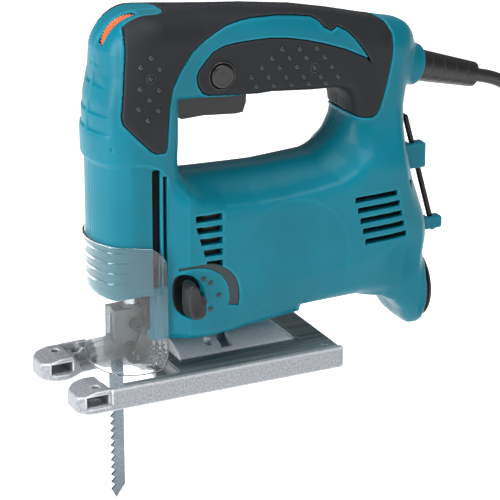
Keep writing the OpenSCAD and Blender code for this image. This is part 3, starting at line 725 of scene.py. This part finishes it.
def housing(sgn):
    def F(x, y, z):
        a = np.abs(y)
        f = body_form(x, y, z)
        # overlapping bands on the nose, above the dust cover
        band = 0.0 * x + 0.0 * z
        for zb in (141.6, 150.4, 164.4, 174.4):
            step = smoothstep(z, zb - 0.5, zb + 0.5) * (1 - smoothstep(z, zb + 0.6, zb + 8.0))
            band = band + 0.75 * step
        f = f + band * (1 - smoothstep(x, -14.4, -13.2)) * smoothstep(a, 0.9, 1.5) * (z > 138)
        for dx, dz in ((-10.8, 182.8), (-14.0, 158.6), (-14.1, 134.6)):
            f = np.maximum(f, -(np.sqrt((x - dx) ** 2 + (a - 20.6) ** 2 + (z - dz) ** 2) - 1.7))
        # where the dust cover slides
        zone = slide_zone(x, z)
        f = smax(f, -np.maximum(zone, 23.8 - a), 0.7)
        f = smax(f, -np.maximum(box2(x, z, (6.8, 58), (11.2, 121.8), 1.2), 20.8 - a), 0.4)
        f = np.maximum(f, -np.maximum(box2(x, z, (12.9, 58), (14.9, 118.0), 0.6), 21.4 - a))
        # seats of the overmoulded grips
        g = np.maximum(grip_area(x, z), -cap(x, a))
        f = f - 0.3 * np.exp(-((g - 0.9) / 0.7) ** 2) * (f > -1.5)
        f = smax(f, -np.maximum(g, -(body_form(x, y, z) + 3.1)), 0.3)
        # vents
        v = slots(x - 0.28 * np.maximum(90 - z, 0) * (x < 34), z, (35.6, 94.0), (0.0, -6.3), 14.6, 3.7)
        v = np.minimum(v, slots(x, z, (132.3, 90.6), (1.6, -6.0), 26.0, 3.1))
        f = smax(f, -np.maximum(v, 24.0 - a), 0.5)
        dish = np.sqrt((x - 84) ** 2 + (z - 64) ** 2) - 31.5
        f = f + 0.35 * (1 - smoothstep(dish, -0.8, 0.8)) * smoothstep(a, 24, 28)
        # clear space for the moving pieces, open towards the other half
        for lo, hi, r in ROOMS:
            f = np.maximum(f, -box3(x, y, z, lo, hi, r))
        f = np.maximum(f, -np.maximum(disc2(x, z, DIAL, 15.3), np.abs(y + 4.4) - 2.5))
        f = np.maximum(f, -np.maximum(disc2(x, z, DIAL, 12.0), a - 7.0))
        # saddle seat and dust duct
        r0 = np.sqrt(a * a + z * z)
        f = smax(f, -np.maximum(r0 - 19.6, x - 131), 0.4)
        duct = np.sqrt(a * a + (z - DUCT_Z) ** 2) - 18.7
        f = np.maximum(f, -np.maximum(duct, np.maximum(147.5 - x, side(np.minimum(x, 164.0), z) + 1.6)))
        # cord entry
        c = math.cos(math.radians(16.04))
        s = math.sin(math.radians(16.04))
        along = (x - 169) * c - (z - 150) * s
        across = np.sqrt(((x - 169) * s + (z - 150) * c) ** 2 + a * a)
        f = smin(f, round_and(across - 11.2, np.maximum(-14 - along, along - 1.2), 1.2), 4.0)
        f = np.maximum(f, -np.maximum(across - 9.0, np.abs(along + 2) - 14))
        if sgn < 0:
            # the orbital lever's pocket, its arc band, and the lock button's hole
            f = smax(f, -np.maximum(lever_well(x, z), 25.2 - a), 0.9)
            f = smax(f, -np.maximum(lever_band(x, z), -(body_form(x, y, z) + 1.4)), 0.3)
            f = np.maximum(f, -np.maximum(disc2(x, z, BUTTON, 6.6), 9.5 - a))
        else:
            for p in HALF_SCREWS:
                f = np.maximum(f, -np.maximum(disc2(x, z, p, 3.7), 13.8 - a))
        # key clips on the left half
        if sgn < 0:
            clip = box3(x, y, z, (156, -7, 93.5), (174.6, 0.6, 107.5), 1.2)
            foot = box3(x, y, z, (166, -6.5, 57), (186, 0.6, 64), 1.6)
            clip = smin(clip, foot, 0.5)
            top, low_ = (163.7, 122), (182, 56)
            rod = np.sqrt(np.maximum(capsule2(x, z, top, low_, 0) ** 2 + (y + 2.6) ** 2, 0)) - 1.85
            lane = np.maximum(capsule2(x, z, top, low_, 0) - 1.85, -2.6 - y)
            clip = np.maximum(clip, -np.minimum(rod, lane))
            f = smin(f, clip, 0.8)
        return np.maximum(f, sgn * -y + 0.03)
    return F


lo_h = np.array([-22.5, -33.0, 6.0])
hi_h = np.array([188.0, 0.8, 201.0])
sdf_piece("housing_left_shell", housing(-1), lo_h, hi_h, VOXEL, M["teal"], "housing",
                 ["housing_left"], sharp=0)
sdf_piece("housing_right_shell", housing(1), lo_h * (1, 0, 1) - (0, 0.8, 0), hi_h * (1, 0, 1) + (0, 33.0, 0),
                  VOXEL, M["teal"], "housing", ["housing_right"], sharp=0)


# ------------ grips
def grip(sgn):
    def F(x, y, z):
        a = np.abs(y)
        skin = body_form(x, y, z, -0.35)
        g = np.maximum(grip_area(x, z), -cap(x, a)) + 0.4
        f = round_and(skin, g, 0.8)
        f = np.maximum(f, -(body_form(x, y, z) + 2.9))
        f = np.maximum(f, -np.maximum(disc2(x, z, DIAL, 17.0), a - 9.0))
        if sgn < 0:
            f = smax(f, -disc2(x, z, BUTTON, 6.7), 0.6)
        else:
            for p in HALF_SCREWS:
                f = np.maximum(f, -disc2(x, z, p, 3.8))
        f = np.maximum(f, -box3(x, y, z, (26.2, -11.3, 132), (67.3, 11.3, 156), 0.4))
        return np.maximum(f, sgn * -y + 0.03)
    return F


lo_g = np.array([-14.0, -27.5, 126.0])
hi_g = np.array([152.0, 0.8, 201.0])
sdf_piece("grip_left_skin", grip(-1), lo_g, hi_g, VOXEL * 0.82, M["grip"], "housing",
                   ["grip_left"], sharp=0)
sdf_piece("grip_right_skin", grip(1), lo_g * (1, 0, 1) - (0, 0.8, 0), hi_g * (1, 0, 1) + (0, 27.5, 0),
                   VOXEL * 0.82, M["grip"], "housing", ["grip_right"], sharp=0)


def skin_y(points, sgn, lift=0.35, start=36.0):
    """The place (x, y, z) of the outer form's side at each (x, z), and its outward normal."""
    p = np.array(points, float)
    x, z = p[:, 0], p[:, 1]
    lo_, hi_ = np.zeros(len(p)), np.full(len(p), start)
    for _ in range(30):
        mid = (lo_ + hi_) / 2
        inside = body_form(x, mid, z, -lift) < 0
        lo_, hi_ = np.where(inside, mid, lo_), np.where(inside, hi_, mid)
    e = 0.4
    n = np.stack([body_form(x + e, lo_, z) - body_form(x - e, lo_, z),
                  body_form(x, lo_ + e, z) - body_form(x, lo_ - e, z),
                  body_form(x, lo_, z + e) - body_form(x, lo_, z - e)], 1)
    n /= np.linalg.norm(n, axis=1)[:, None]
    P = np.stack([x, lo_ * sgn, z], 1)
    n[:, 1] *= sgn
    return P, n


def domes(name, points, sgn, radius, height, mat, ringed=()):
    P, N = skin_y(points, sgn)
    verts, faces = [], []
    for idx, (p, n) in enumerate(zip(P, N)):
        w = Vector(n)
        u = w.orthogonal().normalized()
        v = w.cross(u)
        base = len(verts)
        rows = [(1.25, -0.5), (1.12, 0.12), (0.9, 0.55), (0.5, 0.9)]
        for rr_, hh in rows:
            for k in range(14):
                t = 2 * math.pi * k / 14
                q = Vector(p) + (u * math.cos(t) + v * math.sin(t)) * radius * rr_ + w * height * hh
                verts.append(q * MM)
        verts.append((Vector(p) + w * height) * MM)
        top = len(verts) - 1
        for i in range(3):
            for k in range(14):
                k2 = (k + 1) % 14
                faces.append((base + i * 14 + k, base + i * 14 + k2, base + (i + 1) * 14 + k2,
                              base + (i + 1) * 14 + k))
        for k in range(14):
            faces.append((base + 42 + k, base + 42 + (k + 1) % 14, top))
        faces.append(tuple(base + k for k in range(14))[::-1])
        if idx in ringed:
            base = len(verts)
            for k in range(24):
                t = 2 * math.pi * k / 24
                for c in range(6):
                    s_ = 2 * math.pi * c / 6
                    rad = radius * 2.1 + 0.28 * math.cos(s_)
                    q = Vector(p) + (u * math.cos(t) + v * math.sin(t)) * rad + w * (0.28 * math.sin(s_))
                    verts.append(q * MM)
            for k in range(24):
                for c in range(6):
                    faces.append((base + k * 6 + c, base + ((k + 1) % 24) * 6 + c,
                                  base + ((k + 1) % 24) * 6 + (c + 1) % 6, base + k * 6 + (c + 1) % 6))
    obj = new_object(name, verts, faces, mat)
    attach(obj, "housing")
    return obj


nose_dots = [(6.6, 181.2), (1.1, 176.8), (11.3, 174.8), (6, 170.6), (0.4, 165.8), (10.7, 164), (5.4, 159.6),
             (-0.5, 155.6), (10.2, 153.5), (4.4, 149)]
bar_dots = [(82.5, 174.2), (92.5, 172.9), (102.4, 172.1), (76.7, 170), (86.8, 168.9), (96.3, 167.9),
            (106.9, 166.7), (70.9, 165.9), (81, 164.7), (90.9, 163.6), (101, 162), (111, 161.2),
            (64.8, 161.7), (74.8, 160.2), (84.8, 159), (94.8, 157.8), (104.7, 156.6), (114.7, 155.4),
            (67.8, 156.3), (77.8, 155.3), (87.8, 154.4), (97.8, 153.4), (107.8, 152.5)]
for sgn, tag in ((-1, "left"), (1, "right")):
    domes("nose_dots_" + tag, nose_dots, sgn, 1.15, 0.75, M["dots"], ringed=(3,))
    domes("bar_dots_" + tag, bar_dots, sgn, 1.15, 0.75, M["dots"], ringed=(10,))


# ------------ shade sheets, lever, ring, cover, dial
def shade_sheet(name, outline, depth, thick, sgn, lo2, hi2, mat=None, follow=None):
    """A thin dark sheet behind an opening in the shell: painted shade standing in for the shadow inside."""
    def F(x, y, z):
        a = np.abs(y)
        if follow is not None:
            b = body_form(x, y, z)
            return round_and(np.maximum(b + follow, -(b + follow + thick)), outline(x, z) - 0.4, 0.2)
        return round_and(np.abs(a - depth) - thick / 2, outline(x, z) - 0.5, 0.2)
    d0, d1 = (20.0, 33.0) if follow is not None else (depth - thick, depth + thick)
    lo_ = (lo2[0], -d1 if sgn < 0 else d0, lo2[1])
    hi_ = (hi2[0], -d0 if sgn < 0 else d1, hi2[1])
    return sdf_piece(name, F, np.array(lo_), np.array(hi_), 0.55, mat or M["dark"], "housing",
                     sharp=0)


def vent_field(x, z):
    return np.minimum(box2(x, z, (25.5, 64), (45.5, 97.5), 1.0), box2(x, z, (115.5, 60), (155, 95), 1.0))


# painted shade: near-black sheets behind the vents, the slide-track slots and the lever's pocket
for sgn, tag in ((-1, "left"), (1, "right")):
    shade_sheet("vent_shade_sheet_" + tag, vent_field, 25.2, 1.3, sgn, (24, 59), (156, 99))
    shade_sheet("track_shade_sheet_" + tag, lambda x, z: box2(x, z, (6.6, 57), (15.0, 121.0), 1.0), 21.3, 1.0, sgn,
          (5, 48), (17, 123))
shade_sheet("lever_well_shade_sheet", lever_well, 25.0, 1.4, -1, (15, 37), (36, 67))
# painted shade: a dark skin laid just under the surface in the settings band recess
shade_sheet("lever_band_shade", lever_band, 0, 1.2, -1, (8, 30), (56, 78), mat=M["band"], follow=0.75)


lever_face = Outline([(19.4, 61.6), (20.4, 63.2), (23.0, 63.0), (24.8, 61.0), (25.6, 56), (28.6, 51.2),
                      (29.0, 46.8), (26.6, 44.2), (22.8, 44.0), (20.0, 46.0), (19.4, 50.4)], rounds=2)


def lever_form(x, y, z):
    a = np.abs(y)
    out = lever_face(x, z) - 0.09 * np.maximum(41.0 - a, 0)
    f = round_and(out, np.maximum(a - 41.6, 31.6 - a), 1.5)
    dish = np.sqrt((x - 22.4) ** 2 + (z - 54) ** 2 * 0.22 + (a - 45.2) ** 2) - 4.6
    f = smax(f, -dish, 1.2)
    hub = round_and(disc2(x, z, (27, 51), 4.4), np.maximum(a - 36.0, 26.6 - a), 0.8)
    return smin(f, hub, 1.0)


sdf_piece("orbital_lever_knob", lever_form, np.array([15.0, -43.0, 40.0]), np.array([34.0, -24.5, 67.0]),
          0.45, M["black"], "lever", ["orbital_lever"], sharp=0)
domes("lever_marks", [(31.9, 61.8), (35.7, 59.0), (40.3, 51.6), (35.6, 44.6)], -1, 1.1, 0.2, M["band"])


def torus(name, centre, axis, r0, r1, mat, n=64, m=10):
    w = Vector(axis).normalized()
    u = w.orthogonal().normalized()
    v = w.cross(u)
    verts = [(Vector(centre) + (u * math.cos(2 * math.pi * i / n) + v * math.sin(2 * math.pi * i / n))
              * (r0 + r1 * math.cos(2 * math.pi * j / m)) + w * r1 * math.sin(2 * math.pi * j / m)) * MM
             for i in range(n) for j in range(m)]
    faces = [(i * m + j, ((i + 1) % n) * m + j, ((i + 1) % n) * m + (j + 1) % m, i * m + (j + 1) % m)
             for i in range(n) for j in range(m)]
    return new_object(name, verts, faces, mat)


button_lo, button_hi = box_mm("lock_button")
face_y = button_lo[1]
button = lathe("lock_button_cap", [(0, 2.0), (0.35, 4.2), (0.1, 5.0), (0.2, 5.7), (0.75, 6.15), (7.8, 6.2),
                                   (7.9, 3.9)],
               M["gloss_black"], axis_from=(BUTTON[0], face_y + 0.05, BUTTON[1]),
               axis_to=(BUTTON[0], face_y + 10, BUTTON[1]))
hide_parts("lock_button")
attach(button, "lock")
ring = torus("lock_button_ring", (BUTTON[0], -19.2, BUTTON[1]), (0, 1, 0), 7.1, 0.5, M["gloss_black"])
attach(ring, "housing")


def dial_wheel():
    """Ribbed wheel with a shallow rim on each side."""
    ribs, verts, faces = 56, [], []
    rows = [(-6.45, 13.6), (-6.25, 14.3), (-6.0, 14.7), (-2.8, 14.7), (-2.55, 14.3), (-2.35, 13.6),
            (-2.35, 9.0)]
    rows = [(-6.45, 9.0)] + rows
    n = ribs * 4
    for k_row, (y, r) in enumerate(rows):
        for k in range(n):
            cut = 0.55 if (k % 4 in (2, 3) and 2 <= k_row <= 5) else 0.0
            t = 2 * math.pi * k / n
            verts.append(Vector((DIAL[0] + (r - cut) * math.cos(t), y,
                                 DIAL[1] + (r - cut) * math.sin(t))) * MM)
    for i in range(len(rows) - 1):
        for k in range(n):
            k2 = (k + 1) % n
            faces.append((i * n + k, i * n + k2, (i + 1) * n + k2, (i + 1) * n + k))
    faces.append(tuple(range(n))[::-1])
    faces.append(tuple((len(rows) - 1) * n + k for k in range(n)))
    return new_object("dial_wheel", verts, faces, M["orange"], smooth=False)


dial = dial_wheel()
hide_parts("speed_dial")
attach(dial, "dial")

cover_side = Outline([(-40, 82.8), (-4, 82.2), (5, 80.4), (10.6, 77), (13.6, 72), (14.1, 66), (14.1, 20),
                      (13.0, 15.4), (10.4, 13), (6, 12.2), (-40, 12.2)])


def cover_form(x, y, z):
    a = np.sqrt(y * y + 0.02)
    bow = nose_bow(a)
    d = round_and(-17.3 - (x - bow), a - 23.8, 8.0)
    ridge = 0.0
    for zr in (79.0, 73.4, 67.8, 62.2):
        ridge = ridge + 0.55 * np.exp(-((z - zr - 0.10 * (x + 8)) / 0.9) ** 2) * (1 - smoothstep(x, -9, -5))
    for xr in (6.3, 9.7):
        ridge = ridge + 0.5 * np.exp(-((x - xr) / 0.65) ** 2) * smoothstep(z, 14,
                                                                           17) * (1 - smoothstep(z, 74, 77))
    for k in range(4):
        ridge = ridge + 0.3 * np.exp(-((z - 17.0 - 3.2 * k) / 0.45) ** 2) * smoothstep(x, 1.5, 2.5) * (x < 13)
    edge = np.maximum(cover_side(x, z), 12.2 - z)
    rim = 0.45 * np.exp(-((edge + 0.8) / 0.8) ** 2)
    shell = np.maximum(d - 1.55 - np.minimum(ridge + rim, 0.9) * 0.8, -(d - 0.45))
    return round_and(shell, edge, 0.35)


sdf_piece("dust_cover_clear", cover_form, np.array([-21.5, -27.4, 10.8]), np.array([15.6, 27.4, 84.4]),
                  0.5, M["clear"], "cover", ["dust_cover"], sharp=0)

# ------------ sole
throat = Outline([(-60, -22), (-41, -18.6), (-38.4, -16.6), (-34.6, -12.4), (-31, -11.6), (-25, -12),
                  (-20, -15.4), (-15.4, -18.2), (4, -18.3), (12, -14), (15.8, 0), (12, 14), (4, 18.3),
                  (-15.4, 18.2), (-20, 15.4), (-25, 12), (-31, 11.6), (-34.6, 12.4), (-38.4, 16.6),
                  (-41, 18.6), (-60, 22)], rounds=1)
SOLE_LO, SOLE_HI = box_mm("sole")


def sole_form(x, y, z):
    a = np.abs(y)
    corner = (-39.9 - x + a - 35.65) * 0.7071 + 3.6
    plan = round_and(np.maximum(-39.9 - x, x - 111.4), a - 35.6, 2.5)
    plan = smax(plan, corner, 1.4)
    # height over the plan: rails, plate with two shallow grooves, nose blocks and their ramps
    top = 10.5 + 0 * a
    top = top + 1.1 * smoothstep(a, 31.2, 32.0)
    top = top - 0.7 * np.exp(-((a - 30.1) / 0.8) ** 2) * smoothstep(x, -14, -10)
    top = top - 0.5 * np.exp(-((a - 24.6) / 0.7) ** 2) * smoothstep(x, 24, 28)
    block = smoothstep(x, -20.2, -23.4)
    top = top * (1 - block) + (11.6 - 0.25 * np.maximum(-30 - x, 0)) * block
    dip = smoothstep(x, -23.6, -19.4) * (1 - smoothstep(x, -15.6, -12.6)) * (1 - smoothstep(a, 31.5, 33.6))
    top = top - 2.2 * dip
    low = box2(x, a, (-19, -40), (20.5, 26.0), 4.0)
    top = top + (4.0 - top) * (1 - smoothstep(low, -1.2, 0.4))
    f = np.maximum(z - top, -z)
    f = round_and(f, plan, 1.1)
    # outer long edge: a step below the rail
    f = np.maximum(f, -(np.sqrt((a - 36.2) ** 2 + (z - 8.8) ** 2) - 0.75))
    r0 = np.sqrt(a * a + z * z)
    tube = round_and(r0 - 19.25, np.maximum(25.1 - x, x - 95.9), 0.8)
    tube = np.maximum(tube, -z)
    tube = smax(tube, -(np.sqrt((x - 97.0) ** 2 + (z - 24.2) ** 2) - 13.0), 0.8)
    f = smin(f, tube, 1.2)
    f = np.maximum(f, -np.maximum(r0 - 15.4, np.maximum(28 - x, x - 93)))
    f = smax(f, -throat(x, y), 1.2)
    f = np.maximum(f, -box3(x, y, z, (40.7, -3.3, 5), (65.5, 3.3, 30), 0.3))
    f = np.maximum(f, -box3(x, y, z, (49.7, -13, 12), (56.3, 13, 30), 1.0))
    f = np.maximum(f, -(np.sqrt((x - 44.0) ** 2 + (r0 - 19.2) ** 2 + (a - 8.4) ** 2) - 2.3))
    # fence windows with splayed mouths
    window = box2(x, z, (-35.5, 3.8), (-23.5, 9.3), 0.4)
    f = np.maximum(f, -np.maximum(window, 8 - a))
    f = smax(f, -np.maximum(box2(x, z, (-36.8, 3.2), (-22.2, 16), 0.5), 34.3 - a), 0.3)
    f = smax(f, -np.maximum(box2(x, z, (-36.0, 3.4), (-23.0, 16), 0.5), a - 13.4), 0.3)
    for cx, cy, r in ((-28, 27, 2.1), (-15.8, 29.4, 2.1), (103.8, 26, 1.5)):
        hole = np.sqrt((x - cx) ** 2 + (a - cy) ** 2) - r
        f = smax(f, -np.maximum(hole, 3 - z), 0.5)
    return f


sdf_piece("sole_casting", sole_form, SOLE_LO - 1.3, SOLE_HI + 1.3, 0.62, M["sole"], "sole",
                 ["sole"], sharp=0)

# ------------ dust outlet
def outlet_form(x, y, z):
    r = np.sqrt(y * y + (z - DUCT_Z) ** 2)
    tube = np.maximum(np.maximum(r - 18.45, 16.0 - r), np.maximum(149.0 - x, x - 172.4))
    tube = np.maximum(tube, side(np.minimum(x, 164.0), z) + 2.0)
    flange = round_and(np.maximum(r - 19.7, 16.0 - r), np.maximum(171.1 - x, x - 172.6), 0.6)
    for k in range(2):
        tube = np.maximum(tube, -(np.sqrt((r - 16.0) ** 2 + (x - 155 - 8 * k) ** 2) - 0.8))
    return np.minimum(tube, flange)


sdf_piece("dust_outlet_rim", outlet_form, np.array([147.5, -21.0, 6.0]), np.array([174.0, 21.0, 48.0]),
          0.6, M["black"], "housing", ["dust_outlet"], sharp=0)

# ------------ cord guard
g0, g1 = Vector((169, 0, 150)), Vector((205.5, 0, 139.5))
guard_len = (g1 - g0).length
rows = [(-3, 8.6), (0, 8.7)]
for k in range(60):
    s_ = guard_len * k / 59
    rows.append((s_, 8.7 - 1.9 * s_ / guard_len - (0.35 if k % 12 == 11 and k < 58 else 0.0)))
rows += [(guard_len + 0.02, 6.4), (guard_len + 0.03, 3.9)]
guard = lathe("cord_guard_sleeve", rows, M["cord"], segments=48, axis_from=tuple(g0), axis_to=tuple(g1))
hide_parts("cord_guard")
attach(guard, "housing")

# ------------ nodes that stay as packed
keep = {
    # painted shade: the cast alloy gear case takes the dark steel to stand in for its shadow behind the slots
    "housing_screws": "dark_steel", "gear_case": "dark_steel", "guide_blocks": "cast",
    "plunger_bushes": "bronze", "front_bearing": "steel", "rear_bearing": "steel", "stator_core": "steel",
    "stator_coils": "copper", "brush_holders": "bronze", "carbon_brushes": "dark", "gear_pin": "steel",
    "switch_body": "black", "speed_board": "board", "cord_clamp": "black", "cord_clamp_screws": "steel",
    "inner_lead": "cord", "saddle_bolt": "dark_steel", "clamp_shoe": "cast", "fork_pin": "steel",
    "trigger_spring": "steel", "lock_spring": "steel", "armature_shaft": "steel", "armature_core": "steel",
    "armature_windings": "copper", "commutator": "copper", "fan": "black", "drive_gear": "steel",
    "crank_pin": "steel", "plunger": "steel", "yoke": "cast", "blade_holder": "holder",
    "blade_clamp_screw": "dark_steel", "blade": "blade", "roller_fork": "holder", "roller_pin": "steel",
    "guide_roller": "holder", "hex_key": "dark_steel", "plug_pins": "steel", "trigger": "black",
}
rounded = {"blade_holder": 0.6, "roller_fork": 0.4, "blade_clamp_screw": 0.3, "trigger": 1.4,
           "guide_roller": 0.4, "plunger": 0.4, "housing_screws": 0.25}
for node, key in keep.items():
    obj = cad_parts[node]
    if not obj.data.materials:
        obj.data.materials.append(M[key])
    for i in range(len(obj.material_slots)):
        obj.material_slots[i].material = M[key]
    if node in rounded:
        bevel = obj.modifiers.new("edges", "BEVEL")
        bevel.width = rounded[node] * MM
        bevel.segments = 3
        bevel.limit_method = "ANGLE"
        bevel.angle_limit = math.radians(35)
        bevel.harden_normals = True

# ------------ floor and light
floor_mat = Nodes("floor_paper")
floor_mat.link(floor_mat.mix(floor_mat.noise(8, 2.0), (0.93, 0.93, 0.93), (0.96, 0.96, 0.96)),
               floor_mat.bsdf.inputs["Base Color"])
floor_mat.bsdf.inputs["Emission Color"].default_value = (1.0, 1.0, 1.0, 1.0)
floor_mat.bsdf.inputs["Emission Strength"].default_value = 0.66
floor_mat.bsdf.inputs["Roughness"].default_value = 0.9
floor_mat.bsdf.inputs["Specular IOR Level"].default_value = 0.1
ground = floor_z * MM - 0.0003
rim = [(FLOOR_R * math.cos(2 * math.pi * k / FLOOR_SIDES), FLOOR_R * math.sin(2 * math.pi * k / FLOOR_SIDES),
        ground) for k in range(FLOOR_SIDES)]
floor_obj = new_object("floor", rim, [tuple(range(FLOOR_SIDES))], floor_mat.mat)


def area_light(name, where, size, power, look=(0.07, 0.0, 0.08), colour=(1, 1, 1)):
    data = bpy.data.lights.new(name, "AREA")
    data.shape = "RECTANGLE"
    data.size, data.size_y = size
    data.energy = power
    data.color = colour
    obj = bpy.data.objects.new(name, data)
    scene.collection.objects.link(obj)
    obj.location = where
    obj.rotation_euler = (Vector(look) - Vector(where)).to_track_quat("-Z", "Y").to_euler()
    return obj


right_dir = Vector((math.cos(azimuth), math.sin(azimuth), 0))
front_dir = Vector((back.x, back.y, 0)).normalized()
area_light("top_soft", tuple(Vector((0.07, 0, 1.3)) + front_dir * 0.25), (1.3, 0.9), 17)
area_light("left_key", tuple(-right_dir * 1.1 + front_dir * 0.7 + Vector((0, 0, 0.55))), (0.6, 1.0), 21)
area_light("right_fill", tuple(right_dir * 1.2 + front_dir * 0.8 + Vector((0, 0, 0.5))), (0.5, 1.0), 2.5)
world = bpy.data.worlds.new("world")
scene.world = world
world.use_nodes = True
world.node_tree.nodes["Background"].inputs["Color"].default_value = (1.0, 1.0, 1.0, 1.0)
world.node_tree.nodes["Background"].inputs["Strength"].default_value = 0.27
scene.view_settings.view_transform = "Standard"
